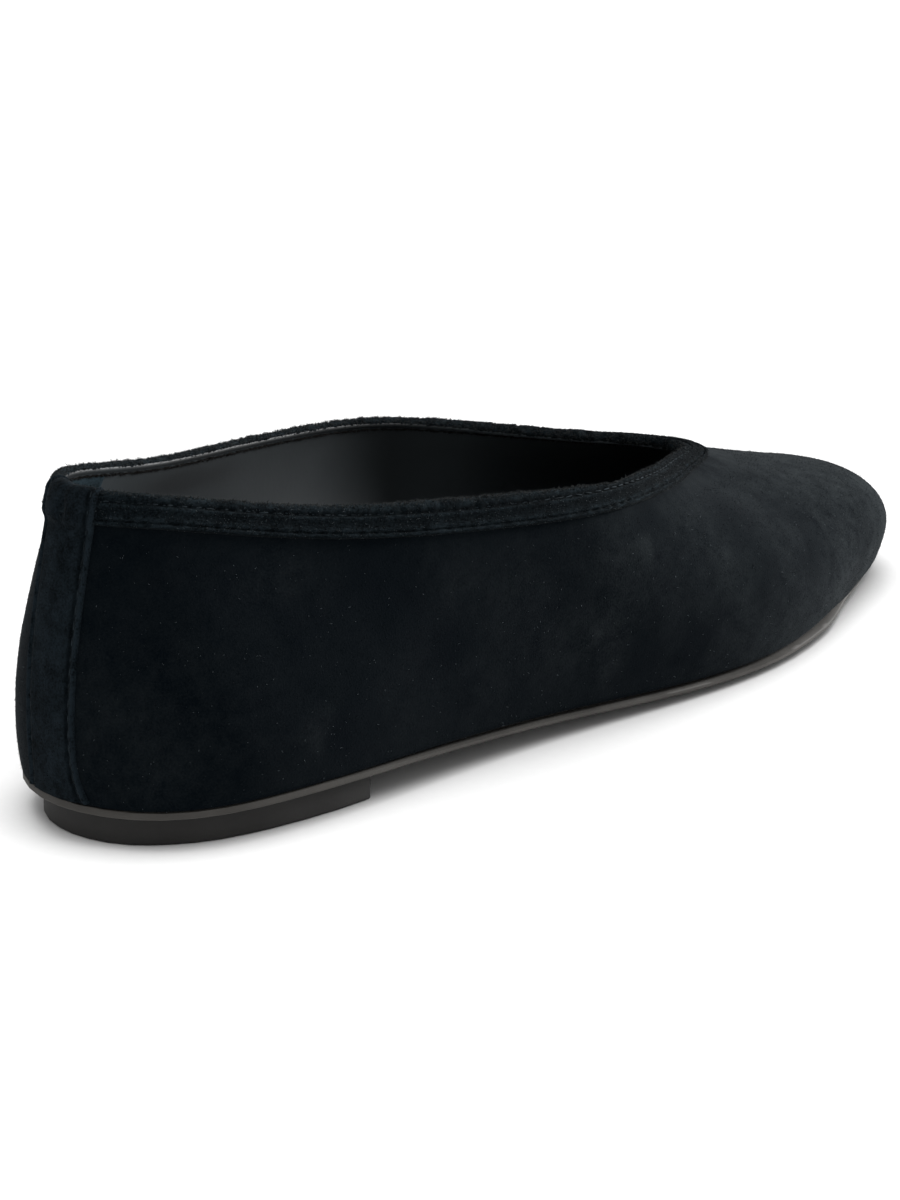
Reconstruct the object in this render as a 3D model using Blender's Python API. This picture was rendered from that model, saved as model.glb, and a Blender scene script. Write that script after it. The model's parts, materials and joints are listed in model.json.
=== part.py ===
"""Ballet flat for the right foot: a suede slip-on upper on a thin sole with a low heel block.

The toe points along +X, the outer side of the foot is -Y and the floor is z = 0. Sizes are millimetres
here and the finished objects are metres, centred over the middle of their common box.
"""
import math

import bmesh
import bpy
import numpy as np

# Driving sizes, mm
LENGTH = 247.0  # heel back to toe tip, along the feather line where the upper meets the sole
BALL_WIDTH = 73.5  # across the feather line at the ball of the foot
BACK_HEIGHT = 64.9  # collar over the floor at the heel back
THROAT_HEIGHT = 39.3  # collar over the floor at the throat, over the toes
INNER_RISE = 1.4  # how much higher the collar runs beside the arch than on the outer side
FORE_LIFT = 2.9  # feather line over the floor at the ball
HEEL_LIFT = 4.8  # heel seat over the ball
TOE_SPRING = 4.2  # toe tip over the ball
WALL = 1.6  # upper, suede and lining together
PLAN_TURN = 25.0  # level reach at which a section's top half turns from square to the feather line to its own way

# Sole and heel, mm
FORE_EDGE = 1.5  # depth of the sole's edge in the forepart
HEEL_EDGE = 1.2  # at the heel seat
TOE_EDGE = 1.2  # and at the toe tip
RIM = 0.8  # how far the sole's edge stands out past the feather line beside the ball
EDGE_ROUND = 0.3  # rounding of the sole's lower edge
BELLY = 2.0  # how far the sole's underside swells below its edge, before the floor flattens it
HEEL_BREAST = 55.0  # front face of the heel block, from the heel back
HEEL_INSETS = (3.2, 3.25, 4.2, 3.5, 2.6, 2.5)  # heel block inside the feather line, back to breast
HEEL_INSET_PLACES = (0, 0.5, 1.1, 1.8, 2.4, 3)  # stations of those, either side of the heel back
HEEL_CHAMFER = 0.5
INSOLE_THICK = 2.0
INSOLE_CLEARANCE = 2.1  # insole edge inside the feather line, clear of the wall

# Strips sewn on the upper, mm
BINDING_WIDTH = 5.6  # down the outside, from the middle of the wall's top edge
BINDING_INSIDE = 2.0  # and down the inside
BINDING_THICK = 0.8
BACKSTAY_WIDTH = 12.5
BACKSTAY_INSIDE = 12.0
BACKSTAY_THICK = 0.7
BACKSTAY_RAMP = 2.0  # length over which it climbs on to the binding

GAP = 0.3  # between neighbouring pieces
MM = 0.001
MERGE = 1e-6  # metres

# Meshing
STEPS_PER_STATION = 4
WALL_STEPS = 10
SHEET_STEPS = 6
BACKSTAY_STEPS = 8
BACKSTAY_ROWS = 10  # below the binding
FINE_STEPS = 60  # samples when a length is measured along a curve
SHARP_ANGLE = math.radians(40)

# The last, a row for each station from heel to toe. Lengths are shares of LENGTH, half widths shares of
# BALL_WIDTH, heel and spring shares of HEEL_LIFT and TOE_SPRING, rim a share of RIM, collar_rise the share of
# the way from throat to back height. A section leaves the feather line leaning out by low_lean degrees and
# reaches the collar leaning in by top_lean; the pulls are its handles, as shares of its chord.
COLUMNS = ("along", "outer", "inner", "heel", "spring", "rim",
           "collar_along", "collar_outer", "collar_inner", "collar_rise",
           "low_lean", "low_pull", "top_lean", "top_pull")
STATIONS = {
    "heel back": (0.000, 0.000, 0.000, 1.00, 0.00, 0.10, 0.015, 0.000, 0.000, 1.00, 13, 0.34, 10, 0.34),
    "heel corner": (0.033, 0.261, 0.248, 1.00, 0.00, 0.10, 0.045, 0.147, 0.147, 0.97, 11, 0.34, 13, 0.35),
    "heel side": (0.125, 0.382, 0.363, 1.00, 0.00, 0.30, 0.139, 0.247, 0.247, 0.77, 11, 0.33, 14, 0.34),
    "rear waist": (0.276, 0.410, 0.365, 0.85, 0.00, 0.70, 0.272, 0.354, 0.353, 0.56, 10, 0.33, 13, 0.33),
    "waist": (0.424, 0.431, 0.362, 0.50, 0.00, 0.95, 0.409, 0.428, 0.414, 0.43, 12, 0.35, 17, 0.34),
    "rear ball": (0.568, 0.481, 0.440, 0.12, 0.00, 1.00, 0.503, 0.410, 0.369, 0.34, 13.5, 0.315, 30.5, 0.4),
    "ball": (0.687, 0.485, 0.504, 0.00, 0.00, 1.00, 0.586, 0.305, 0.279, 0.21, 14, 0.29, 52, 0.48),
    "fore": (0.810, 0.385, 0.465, 0.00, 0.07, 0.90, 0.653, 0.188, 0.187, 0.10, 17, 0.268, 60.5, 0.518),
    "toe side": (0.912, 0.251, 0.327, 0.00, 0.29, 0.40, 0.698, 0.117, 0.115, 0.04, 21, 0.254, 66.5, 0.551),
    "toe corner": (0.977, 0.129, 0.170, 0.00, 0.71, -0.50, 0.720, 0.061, 0.058, 0.01, 25, 0.236, 70.5, 0.578),
    "toe tip": (1.000, -0.015, 0.015, 0.00, 1.00, -0.90, 0.727, 0.000, 0.000, 0.00, 25, 0.229, 73, 0.576),
}
THROAT_ALONG = STATIONS["toe tip"][COLUMNS.index("collar_along")]

# Columns of the loop that runs heel back, outer side, toe tip, inner side
FOOT = slice(0, 3)
COLLAR = slice(3, 6)
LOW_LEAN, LOW_PULL, TOP_LEAN, TOP_PULL, EDGE_OUT, EDGE_DEPTH, FLEX = range(6, 13)
UP = np.array([0.0, 0.0, 1.0])
LEVEL = np.array([1.0, 1.0, 0.0])
OVER = WALL / 2 * math.pi / 2  # from the middle of the wall's rounded top edge to either face
HEEL_REACH = 1.5  # stations either side of the heel back that the backstay stays within


def loop_row(station, side, half):
    """One row of the loop, in mm and radians, from a station's shares."""
    foot_z = FORE_LIFT + HEEL_LIFT * station["heel"] + TOE_SPRING * station["spring"]
    throat_share = station["collar_along"] / THROAT_ALONG
    inner_rise = INNER_RISE * math.sin(math.pi * throat_share) if half == "inner" else 0.0
    collar_z = THROAT_HEIGHT + (BACK_HEIGHT - THROAT_HEIGHT) * station["collar_rise"] + inner_rise
    edge = FORE_EDGE + (HEEL_EDGE - FORE_EDGE) * station["heel"] + (TOE_EDGE - FORE_EDGE) * station["spring"]
    return (LENGTH * station["along"], side * BALL_WIDTH * station[half], foot_z,
            LENGTH * station["collar_along"], side * BALL_WIDTH * station["collar_" + half], collar_z,
            math.radians(station["low_lean"]), station["low_pull"],
            math.radians(station["top_lean"]), station["top_pull"],
            RIM * station["rim"], edge, 1 - station["heel"])


class ClosedSpline:
    """Cubic spline through the loop's rows, with row number i at u = i."""

    def __init__(self, rows):
        self.rows = np.array(rows)
        count = len(rows)
        following = np.roll(self.rows, -1, axis=0)
        self.step = np.linalg.norm((following - self.rows)[:, :2], axis=1)
        rate = (following - self.rows) / self.step[:, None]
        matrix = np.zeros((count, count))
        for i in range(count):
            matrix[i, i] = 2 * (self.step[i - 1] + self.step[i])
            matrix[i, i - 1] = self.step[i - 1]
            matrix[i, (i + 1) % count] = self.step[i]
        self.bend = np.linalg.solve(matrix, 6 * (rate - np.roll(rate, 1, axis=0)))

    def ends(self, u):
        """The two rows either side of u, their bends, the step between them and the way along it."""
        count = len(self.rows)
        whole = np.floor(u).astype(int)
        here = whole % count
        after = (whole + 1) % count
        step = self.step[here][:, None]
        way = (u - whole)[:, None] * step
        return self.rows[here], self.rows[after], self.bend[here], self.bend[after], step, way

    def value(self, u):
        row0, row1, bend0, bend1, step, way = self.ends(u)
        left = step - way
        curve = (bend0 * left ** 3 + bend1 * way ** 3) / (6 * step)
        return curve + (row0 / step - bend0 * step / 6) * left + (row1 / step - bend1 * step / 6) * way

    def slope(self, u):
        row0, row1, bend0, bend1, step, way = self.ends(u)
        curve = (bend1 * way ** 2 - bend0 * (step - way) ** 2) / (2 * step)
        return curve + (row1 - row0) / step - (bend1 - bend0) * step / 6


def make_loop():
    stations = [dict(zip(COLUMNS, row)) for row in STATIONS.values()]
    outer_side = [loop_row(station, -1, "outer") for station in stations]
    inner_side = [loop_row(station, 1, "inner") for station in reversed(stations[1:-1])]
    return ClosedSpline(outer_side + inner_side)


LOOP = make_loop()
TOE_ROW = len(STATIONS) - 1
AROUND = np.arange(0, 2 * TOE_ROW, 1 / STEPS_PER_STATION)


def unit(vectors):
    return vectors / np.linalg.norm(vectors, axis=-1, keepdims=True)


def outward(u):
    """Level directions out of the shoe, square to the feather line."""
    slope = LOOP.slope(u)
    return unit(np.stack([slope[:, 1], -slope[:, 0], np.zeros(len(u))], axis=1))


def face(u, v):
    """Points of the upper's outer face, u round the shoe and v from feather line (0) to collar (1)."""
    value = LOOP.value(u)
    out = outward(u)
    foot = value[:, FOOT]
    collar = value[:, COLLAR]
    chord = np.linalg.norm(collar - foot, axis=1)
    low_lean = value[:, LOW_LEAN][:, None]
    top_lean = value[:, TOP_LEAN][:, None]
    low_pull = (value[:, LOW_PULL] * chord)[:, None]
    top_pull = (value[:, TOP_PULL] * chord)[:, None]
    low = foot + low_pull * (np.cos(low_lean) * UP + np.sin(low_lean) * out)
    lay = unit((foot - collar) * LEVEL + PLAN_TURN * out)
    top = collar - top_pull * (np.cos(top_lean) * UP - np.sin(top_lean) * lay)
    v = np.broadcast_to(v, u.shape)[:, None]
    w = 1 - v
    return w ** 3 * foot + 3 * w ** 2 * v * low + 3 * w * v ** 2 * top + v ** 3 * collar


def face_axes(u, v):
    """Directions on the outer face: round the shoe, and out of the face."""
    small = 0.001
    around = face(u + small, v) - face(u - small, v)
    rising = face(u, v + small) - face(u, v - small)
    return unit(around), unit(np.cross(around, rising))


def drops(u):
    """Heights v on the sections at u, and the length of section from each up to the collar."""
    heights = np.linspace(0, 1, FINE_STEPS + 1)
    points = np.stack([face(u, v) for v in heights])
    pieces = np.linalg.norm(np.diff(points, axis=0), axis=2)
    below = np.zeros((len(heights), len(u)))
    below[:-1] = np.cumsum(pieces[::-1], axis=0)[::-1]
    return heights, below


def height_at_drop(u, drop):
    """Heights v that lie a length of section below the collar."""
    heights, below = drops(u)
    drop = np.broadcast_to(drop, u.shape)
    return np.array([np.interp(drop[i], below[::-1, i], heights[::-1]) for i in range(len(u))])


def skin(u, place, offset):
    """Points over the wall's two faces and its rounded top edge.

    place is the length along the wall's skin from the middle of the top edge, negative outside and positive
    inside; offset is the distance out of the skin.
    """
    radius = WALL / 2
    turn = np.clip(np.broadcast_to(place, u.shape) / radius, -math.pi / 2, math.pi / 2)[:, None]
    drop = np.maximum(np.abs(place) - OVER, 0)
    v = height_at_drop(u, drop)
    around, out = face_axes(u, v)
    rise = np.cross(out, around)
    normal = -np.sin(turn) * out + np.cos(turn) * rise
    middle = face(u, v) - radius * out
    return middle + (radius + np.broadcast_to(offset, u.shape)[:, None]) * normal


def foot_loop(u, inset):
    """Points beside the feather line, moved level into the shoe by inset."""
    inset = np.broadcast_to(inset, u.shape)[:, None]
    return LOOP.value(u)[:, FOOT] - inset * outward(u)


def sheet(outer_u, inner_u, inset, height, belly=0.0):
    """Grid of points across the shoe, from its outer side to its inner side at each station.

    belly is how far it swells down between its edges, away from the heel and the two tips.
    """
    outer_edge = foot_loop(outer_u, inset(outer_u))
    inner_edge = foot_loop(inner_u, inset(inner_u))
    outer_edge[:, 2] = height(outer_u)
    inner_edge[:, 2] = height(inner_u)
    width = np.linalg.norm(outer_edge - inner_edge, axis=1)
    swell = belly * LOOP.value(outer_u)[:, FLEX] * np.minimum(2 * width / BALL_WIDTH, 1)
    rows = []
    for across in np.linspace(0, 1, SHEET_STEPS + 1):
        row = (1 - across) * outer_edge + across * inner_edge
        row[:, 2] -= swell * (1 - abs(2 * across - 1) ** 3)
        rows.append(row)
    grid = np.stack(rows, axis=1)
    grid[:, :, 2] = np.maximum(grid[:, :, 2], 0)
    return grid


def whole_foot():
    """Places u along the outer and the inner side, heel to toe."""
    outer_u = np.arange(0, TOE_ROW + 1 / STEPS_PER_STATION, 1 / STEPS_PER_STATION)
    return outer_u, 2 * TOE_ROW - outer_u


def edge_out(u):
    return LOOP.value(u)[:, EDGE_OUT]


def sole_under(u):
    """Height of the sole's lower edge."""
    value = LOOP.value(u)
    return value[:, 2] - value[:, EDGE_DEPTH]


def heel_inset(u):
    """Heel block's edge inside the feather line, most at its back corners."""
    return np.interp(np.abs(u), HEEL_INSET_PLACES, HEEL_INSETS)


def heel_sides():
    """Places u along both sides of the heel block, from the heel back to the breast."""
    sides = []
    for direction in (1, -1):
        u = direction * np.linspace(0, TOE_ROW / 2, FINE_STEPS + 1)
        along = foot_loop(u, heel_inset(u))[:, 0]
        breast = np.interp(HEEL_BREAST, along, u)
        sides.append(np.linspace(0, breast, 3 * STEPS_PER_STATION + 1))
    return sides


def srgb(code):
    """Linear colour from a hex code."""
    channels = [int(code[i:i + 2], 16) / 255 for i in (1, 3, 5)]
    return [c / 12.92 if c <= 0.04045 else ((c + 0.055) / 1.055) ** 2.4 for c in channels] + [1.0]


def material(name, code, roughness):
    made = bpy.data.materials.new(name)
    made.use_nodes = True
    shader = made.node_tree.nodes["Principled BSDF"]
    shader.inputs["Base Color"].default_value = srgb(code)
    shader.inputs["Roughness"].default_value = roughness
    shader.inputs["Metallic"].default_value = 0.0
    return made


class Body:
    """Points and faces of one closed piece."""

    def __init__(self, name, finish):
        self.name = name
        self.finish = finish
        self.points = []
        self.faces = []

    def add(self, points):
        """Adds an array of points and returns their numbers in the same layout."""
        flat = np.asarray(points).reshape(-1, 3)
        first = len(self.points)
        self.points.extend(flat)
        return np.arange(first, first + len(flat)).reshape(np.shape(points)[:-1])

    def lattice(self, numbers):
        """Quads over a grid of point numbers."""
        for a, b in zip(numbers[:-1], numbers[1:]):
            for i in range(len(a) - 1):
                self.faces.append((a[i], a[i + 1], b[i + 1], b[i]))

    def tube(self, rings):
        """Closed body from closed rings, the last joined to the first."""
        numbers = self.add(np.stack(rings))
        numbers = np.concatenate([numbers, numbers[:1]])
        self.lattice(np.concatenate([numbers, numbers[:, :1]], axis=1))

    def slab(self, levels):
        """Closed body from grids, top to bottom: the first and last are its faces, their borders its side."""
        borders = []
        for i, grid in enumerate(levels):
            numbers = self.add(grid)
            if i in (0, len(levels) - 1):
                self.lattice(numbers)
            border = [*numbers[:-1, 0], *numbers[-1, :-1], *numbers[:0:-1, -1], *numbers[0, :0:-1]]
            borders.append(border + border[:1])
        self.lattice(borders)

    def make(self, shift):
        """The finished object, moved by shift and scaled to metres."""
        mesh = bpy.data.meshes.new(self.name)
        placed = (np.array(self.points) + shift) * MM
        mesh.from_pydata(placed.tolist(), [], [tuple(map(int, corners)) for corners in self.faces])
        work = bmesh.new()
        work.from_mesh(mesh)
        bmesh.ops.remove_doubles(work, verts=work.verts, dist=MERGE)
        loose = [vert for vert in work.verts if not vert.link_faces]
        bmesh.ops.delete(work, geom=loose, context="VERTS")
        bmesh.ops.recalc_face_normals(work, faces=work.faces)
        work.to_mesh(mesh)
        work.free()
        mesh.shade_smooth()
        mesh.set_sharp_from_angle(angle=SHARP_ANGLE)
        mesh.materials.append(self.finish)
        made = bpy.data.objects.new(self.name, mesh)
        bpy.context.scene.collection.objects.link(made)


def upper_body():
    body = Body("upper", material("suede", "#141a21", 0.95))
    heights = np.linspace(0, 1, WALL_STEPS + 1)
    outside = []
    inside = []
    for v in heights:
        points = face(AROUND, v)
        _, out = face_axes(AROUND, v)
        outside.append(points)
        inside.append(points - WALL * out)
    edge = [skin(AROUND, place, 0.0) for place in (-OVER / 2, 0.0, OVER / 2)]
    body.tube(outside + edge + inside[::-1])
    return body


def binding_body():
    body = Body("topline_binding", material("suede binding", "#10161c", 0.95))
    legs = (-BINDING_WIDTH, -(BINDING_WIDTH + OVER) / 2)
    places = [*legs, -OVER, -OVER / 2, 0.0, OVER / 2, OVER, OVER + BINDING_INSIDE]
    under = [skin(AROUND, place, GAP) for place in places]
    above = [skin(AROUND, place, GAP + BINDING_THICK) for place in places]
    body.tube(under + above[::-1])
    return body


def backstay_offset(place):
    """Distance of the backstay off the wall: over the binding it lies one strip further out."""
    outside = np.clip((BINDING_WIDTH + GAP + BACKSTAY_RAMP + place) / BACKSTAY_RAMP, 0, 1)
    inside = np.clip((BINDING_INSIDE + OVER + GAP + BACKSTAY_RAMP - place) / BACKSTAY_RAMP, 0, 1)
    return GAP + (GAP + BINDING_THICK) * np.minimum(outside, inside)


def backstay_row(place, thick):
    """Points across the backstay at one place on the wall's skin, down to the feather line at most."""
    reach = np.linspace(-HEEL_REACH, HEEL_REACH, FINE_STEPS + 1)
    lowest = drops(reach)[1][0] + OVER - GAP
    line = skin(reach, np.maximum(place, -lowest), 0.0)
    arc = np.concatenate([[0], np.cumsum(np.linalg.norm(np.diff(line, axis=0), axis=1))])
    arc -= arc[len(arc) // 2]
    across = np.linspace(-BACKSTAY_WIDTH / 2, BACKSTAY_WIDTH / 2, BACKSTAY_STEPS + 1)
    u = np.interp(across, arc, reach)
    held = np.maximum(place, -np.interp(u, reach, lowest))
    return skin(u, held, backstay_offset(held) + thick)


def backstay_body():
    body = Body("backstay", material("suede strip", "#121920", 0.95))
    climb = BINDING_WIDTH + GAP
    feather = drops(np.zeros(1))[1][0, 0] + OVER
    step_down = OVER + BINDING_INSIDE + GAP
    lower = np.linspace(-feather, -climb - BACKSTAY_RAMP, BACKSTAY_ROWS)
    top = [-climb, -climb / 2, -OVER, -OVER / 2, 0.0, OVER / 2, OVER, step_down]
    inner = np.linspace(step_down + BACKSTAY_RAMP, OVER + BACKSTAY_INSIDE, BACKSTAY_ROWS // 2)
    places = [*lower, *top, *inner]
    under = np.stack([backstay_row(place, 0.0) for place in places])
    above = np.stack([backstay_row(place, BACKSTAY_THICK) for place in places])
    body.slab([above, under])
    return body


def outsole_body():
    body = Body("outsole", material("sole edge", "#4a4641", 0.7))
    outer_u, inner_u = whole_foot()

    def top(u):
        return LOOP.value(u)[:, 2] - GAP

    def above_round(u):
        return sole_under(u) + EDGE_ROUND

    def rim(u):
        return -edge_out(u)

    def rim_under(u):
        return EDGE_ROUND - edge_out(u)

    body.slab([sheet(outer_u, inner_u, rim, top), sheet(outer_u, inner_u, rim, above_round),
               sheet(outer_u, inner_u, rim_under, sole_under, BELLY)])
    return body


def heel_body():
    body = Body("heel", material("heel rubber", "#3a3632", 0.8))
    outer_u, inner_u = heel_sides()

    def top(u):
        return sole_under(u) - GAP

    def chamfered(u):
        return np.full(len(u), HEEL_CHAMFER)

    def floor(u):
        return np.zeros(len(u))

    def tread_inset(u):
        return heel_inset(u) + HEEL_CHAMFER

    body.slab([sheet(outer_u, inner_u, heel_inset, top), sheet(outer_u, inner_u, heel_inset, chamfered),
               sheet(outer_u, inner_u, tread_inset, floor)])
    return body


def insole_body():
    body = Body("insole", material("insole leather", "#17181a", 0.5))
    outer_u, inner_u = whole_foot()

    def edge(u):
        return np.full(len(u), INSOLE_CLEARANCE)

    def bottom(u):
        return LOOP.value(u)[:, 2]

    def top(u):
        return bottom(u) + INSOLE_THICK

    body.slab([sheet(outer_u, inner_u, edge, top), sheet(outer_u, inner_u, edge, bottom)])
    return body


def main():
    for old in list(bpy.data.objects):
        bpy.data.objects.remove(old)
    bodies = [outsole_body(), heel_body(), upper_body(), insole_body(), binding_body(), backstay_body()]
    points = np.concatenate([np.array(body.points) for body in bodies])
    low = points.min(axis=0)
    high = points.max(axis=0)
    shift = -np.array([(low[0] + high[0]) / 2, (low[1] + high[1]) / 2, low[2]])
    for body in bodies:
        body.make(shift)


main()
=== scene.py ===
"""Looks of a ballet flat for the right foot, in dark navy suede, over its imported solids.

Sizes are millimetres here and metres in the scene. The toe points along +X, the outer side of the foot is -Y
and the floor is z = 0.
"""
import json
import math

import bpy
import numpy as np
from mathutils import Matrix, Vector

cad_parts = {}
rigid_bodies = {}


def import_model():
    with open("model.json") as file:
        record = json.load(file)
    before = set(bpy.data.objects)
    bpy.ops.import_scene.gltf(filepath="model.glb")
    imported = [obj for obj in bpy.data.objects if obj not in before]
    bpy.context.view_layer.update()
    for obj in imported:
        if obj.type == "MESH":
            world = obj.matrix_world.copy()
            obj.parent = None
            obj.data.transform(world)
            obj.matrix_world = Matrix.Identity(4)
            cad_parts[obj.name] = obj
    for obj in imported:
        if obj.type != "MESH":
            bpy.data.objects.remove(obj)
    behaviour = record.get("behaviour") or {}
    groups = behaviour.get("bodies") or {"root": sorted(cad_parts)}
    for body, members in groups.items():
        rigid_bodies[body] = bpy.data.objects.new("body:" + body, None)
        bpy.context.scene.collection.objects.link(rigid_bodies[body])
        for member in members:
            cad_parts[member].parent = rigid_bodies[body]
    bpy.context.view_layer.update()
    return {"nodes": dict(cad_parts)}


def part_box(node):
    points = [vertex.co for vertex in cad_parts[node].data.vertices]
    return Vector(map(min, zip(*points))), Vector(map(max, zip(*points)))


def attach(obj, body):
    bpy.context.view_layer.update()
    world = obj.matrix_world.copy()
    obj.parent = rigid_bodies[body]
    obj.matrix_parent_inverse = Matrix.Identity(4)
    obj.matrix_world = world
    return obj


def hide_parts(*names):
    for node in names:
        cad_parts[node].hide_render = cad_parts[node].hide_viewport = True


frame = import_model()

MM = 0.001

# Camera, found from the photograph's outlines
AZIMUTH = -48.54
ELEVATION = 18.24
ROLL = 1.10
DISTANCE = 800.0
AIM = (114.3, 6.1, 18.1)  # from the heel back, on the floor
FOCAL_PIXELS = 3928.0  # on a picture 1200 pixels tall
PICTURE_HEIGHT = 1200
SENSOR = 36.0

# The last, with the sizes of the part's source, mm
LENGTH = 247.0  # heel back to toe tip, along the feather line where the upper meets the sole
BALL_WIDTH = 73.5
BACK_HEIGHT = 64.9
THROAT_HEIGHT = 39.3
INNER_RISE = 1.4  # how much higher the collar runs beside the arch than on the outer side
FORE_LIFT = 2.9
HEEL_LIFT = 4.8
TOE_SPRING = 4.2
WALL = 1.6  # upper, suede and lining together
# Level reach at which a section's top half turns from square to the feather line to its own way
PLAN_TURN = 25.0
OVER = WALL / 2 * math.pi / 2  # from the middle of the wall's rounded top edge to either face

# A row for each station from heel to toe. Lengths are shares of LENGTH, half widths shares of BALL_WIDTH,
# heel and spring shares of HEEL_LIFT and TOE_SPRING, collar_rise the share of the way from throat to back
# height. A section leaves the feather line leaning out by low_lean degrees and reaches the collar leaning
# in by top_lean; low_pull and top_pull say how far either lean holds, as shares of the section's chord.
COLUMNS = ("along", "outer", "inner", "heel", "spring",
           "collar_along", "collar_outer", "collar_inner", "collar_rise",
           "low_lean", "low_pull", "top_lean", "top_pull")
STATIONS = {
    "heel back": (0.000, 0.000, 0.000, 1.00, 0.00, 0.015, 0.000, 0.000, 1.00, 13, 0.34, 10, 0.34),
    "heel corner": (0.033, 0.261, 0.248, 1.00, 0.00, 0.045, 0.147, 0.147, 0.97, 11, 0.34, 13, 0.35),
    "heel side": (0.125, 0.382, 0.363, 1.00, 0.00, 0.139, 0.247, 0.247, 0.77, 11, 0.33, 14, 0.34),
    "rear waist": (0.276, 0.410, 0.365, 0.85, 0.00, 0.272, 0.354, 0.353, 0.56, 10, 0.33, 13, 0.33),
    "waist": (0.424, 0.431, 0.362, 0.50, 0.00, 0.409, 0.428, 0.414, 0.43, 12, 0.35, 17, 0.34),
    "rear ball": (0.568, 0.481, 0.440, 0.12, 0.00, 0.503, 0.410, 0.369, 0.34, 13.5, 0.315, 30.5, 0.4),
    "ball": (0.687, 0.485, 0.504, 0.00, 0.00, 0.586, 0.305, 0.279, 0.21, 14, 0.29, 52, 0.48),
    "fore": (0.810, 0.385, 0.465, 0.00, 0.07, 0.653, 0.188, 0.187, 0.10, 17, 0.268, 60.5, 0.518),
    "toe side": (0.912, 0.251, 0.327, 0.00, 0.29, 0.698, 0.117, 0.115, 0.04, 21, 0.254, 66.5, 0.551),
    "toe corner": (0.977, 0.129, 0.170, 0.00, 0.71, 0.720, 0.061, 0.058, 0.01, 25, 0.236, 70.5, 0.578),
    "toe tip": (1.000, -0.015, 0.015, 0.00, 1.00, 0.727, 0.000, 0.000, 0.00, 25, 0.229, 73, 0.576),
}
THROAT_ALONG = STATIONS["toe tip"][COLUMNS.index("collar_along")]
TOE_ROW = len(STATIONS) - 1
ROUND = 2 * TOE_ROW  # stations all the way round, heel back to heel back
FOOT = slice(0, 3)
COLLAR = slice(3, 6)
LOW_LEAN, LOW_PULL, TOP_LEAN, TOP_PULL = range(6, 10)
UP = np.array([0.0, 0.0, 1.0])
LEVEL = np.array([1.0, 1.0, 0.0])
FINE_STEPS = 80  # samples when a length is measured along a curve
WELD_GAP = 1e-6  # metres

# Suede and its strips, mm
SUEDE_THICK = 0.8
FEATHER_ROLL = 1.0  # radius by which the suede turns under at the sole
BINDING_DOWN = 5.6  # outside, from the middle of the wall's top edge
BINDING_IN = 0.7  # inside, where the lining covers its end
BINDING_PUFF = 1.05
BINDING_SUNK = 0.25  # how far its back lies in the wall
STRIP_GAP = 0.05  # how far off the wall the faces of binding and backstay begin
BINDING_ROWS = (-4.45, -1.15)  # its two rows of stitches
BACKSTAY_WIDTH = 12.5
BACKSTAY_FLARE = 0.35  # share by which it widens at the sole
FLARE_HEIGHT = 10.0  # over what length at the sole it does
OVER_BINDING = 0.85  # how far the binding under it lifts it
BACKSTAY_IN = 12.0
BACKSTAY_PUFF = 0.75
BACKSTAY_ROW = 1.25  # its rows of stitches, from each edge
LINING_START = 0.2  # the lining's rolled edge, at the crest of the binding
LINING_ROW = 0.95  # its row of stitches
LINING_UP = 1.6  # its edge over the middle of the wall's rounded top
LINING_OUT = 1.15  # its face from there
LINING_LEDGE = 0.25  # how much its turned edge stands off the lining below the stitches
LINING_THICK = 0.5
LINING_SHORT = 0.8  # how far above the feather line it ends
GRIP_REACH = 28.0  # the heel grip inside, from the centre back to either end
GRIP_DOWN = 30.0
GRIP_PUFF = 0.4  # how far it stands off the lining
GRIP_THICK = 0.6
TOE_WRAP = 1.3  # how far the suede reaches down over the edge of the sole at the toe, and the sole draws in
TOE_FULL = 0.7  # how much further the toe stands out above its lower edge
TOE_PULL = 0.9  # how much further in its lower edge runs beside the tip
WRAP_REACH = 3.2  # stations from the tip at which the suede begins to reach down
WRAP_FADE = 0.9  # stations over which that comes on
WRAP_HEIGHT = 7.0  # how far up the suede is stretched by it
TUCK_START = 196.0  # where along the shoe the sole begins to draw in
TUCK_FADE = 15.0  # over what length that comes on
TUCK_HUB = 12.0  # how far round its start the sole draws in less
RIM_RISE = 0.7  # how much higher the sole's rim stands against the suede at the heel
RIM_END = 80.0  # where along the shoe that ends
RIM_FADE = 40.0  # over what length it does
RIM_WIDTH = 1.2
RIM_DEPTH = 0.5
STITCH_PITCH = 2.9
STITCH_LENGTH = 2.1
THREAD = 0.3
FIBRE_TILT = (0.25, 1.25)  # least and most from upright, radians
FIBRE_ROOT = 0.05  # how deep a fibre's foot sits

# Tone of the suede, from 0 for dark to 1 for pale
HEEL_TONE = 0.085
# Painted light: the toe is painted paler, as where it faces the lamps
TOE_PAINTED_LIGHT = 0.49  # how much paler at the toe
PAINTED_LIGHT_START = 120.0  # where along the shoe it begins to turn paler, mm
PAINTED_LIGHT_LENGTH = 80.0

# Grids laid over the last: rows go round the shoe, columns up or over the wall
UPPER_GRID_ROWS = 520
UPPER_GRID_COLUMNS = 73
LINING_GRID_ROWS = 480
BINDING_GRID_ROWS = 960
UNDER_BINDING = 8  # columns of the upper that the binding covers
LINING_EDGE = slice(10, 14)  # columns of the lining just below its row of stitches
BINDING_CREST = slice(39, 49)  # columns of the binding along its crest

# Stage, metres
FLOOR_SIZE = 12.0
SURROUND = 0.75  # strength of the white surroundings


def linear(code):
    """Linear colour from an sRGB hex code."""
    channels = [int(code[i:i + 2], 16) / 255 for i in (1, 3, 5)]
    return [c / 12.92 if c <= 0.04045 else ((c + 0.055) / 1.055) ** 2.4 for c in channels] + [1.0]


def per_size(size):
    """Texture scale that gives features of a size in mm."""
    return 1 / (size * MM)


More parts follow.
